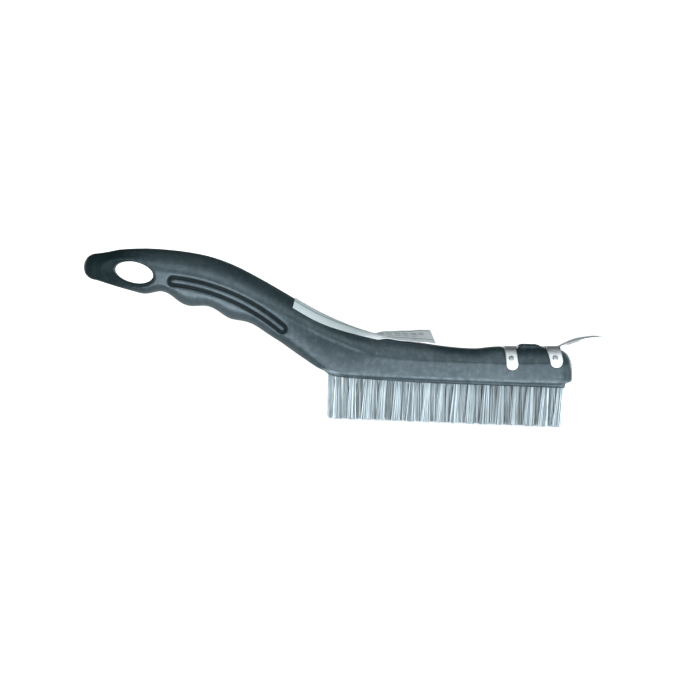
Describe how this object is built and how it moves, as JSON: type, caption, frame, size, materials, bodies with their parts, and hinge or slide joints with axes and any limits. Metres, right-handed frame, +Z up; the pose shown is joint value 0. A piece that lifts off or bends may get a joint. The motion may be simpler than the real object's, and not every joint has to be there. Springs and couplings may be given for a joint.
{
  "type": "wire brush",
  "caption": "Curved-handle wire scratch brush with staggered steel wire tufts, a pinned sheet-steel scraper on its nose and a paper label over the neck.",
  "frame": {"origin": "on the plane of the wire tips, under the centre of the whole brush seen from above", "axes": "+X from the tail towards the scraper, +Z up, away from the wires; the wires lie on Z = 0"},
  "size_m": [0.286, 0.0344, 0.0895],
  "materials": {
    "black_plastic": "satin moulded plastic with a fine speckled texture",
    "bristle_wire": "drawn steel wire, bright",
    "scraper_steel": "bright rolled sheet steel",
    "pin_steel": "dull zinc plate",
    "label_paper": null
  },
  "bodies": {
    "root": {"handle": "black_plastic", "scraper": "scraper_steel", "paper_label": "label_paper", "scraper_pin_near_rear": "pin_steel", "scraper_pin_near_front": "pin_steel", "scraper_pin_far_rear": "pin_steel", "scraper_pin_far_front": "pin_steel", "wire_tufts_near_01": "bristle_wire", "wire_tufts_near_02": "bristle_wire", "wire_tufts_near_03": "bristle_wire", "wire_tufts_near_04": "bristle_wire", "wire_tufts_near_05": "bristle_wire", "wire_tufts_near_06": "bristle_wire", "wire_tufts_near_07": "bristle_wire", "wire_tufts_near_08": "bristle_wire", "wire_tufts_near_09": "bristle_wire", "wire_tufts_near_10": "bristle_wire", "wire_tufts_near_11": "bristle_wire", "wire_tufts_near_12": "bristle_wire", "wire_tufts_near_13": "bristle_wire", "wire_tufts_near_14": "bristle_wire", "wire_tufts_near_15": "bristle_wire", "wire_tufts_near_16": "bristle_wire", "wire_tufts_far_01": "bristle_wire", "wire_tufts_far_02": "bristle_wire", "wire_tufts_far_03": "bristle_wire", "wire_tufts_far_04": "bristle_wire", "wire_tufts_far_05": "bristle_wire", "wire_tufts_far_06": "bristle_wire", "wire_tufts_far_07": "bristle_wire", "wire_tufts_far_08": "bristle_wire", "wire_tufts_far_09": "bristle_wire", "wire_tufts_far_10": "bristle_wire", "wire_tufts_far_11": "bristle_wire", "wire_tufts_far_12": "bristle_wire", "wire_tufts_far_13": "bristle_wire", "wire_tufts_far_14": "bristle_wire", "wire_tufts_far_15": "bristle_wire", "wire_tufts_far_16": "bristle_wire"}
  },
  "joints": []
}
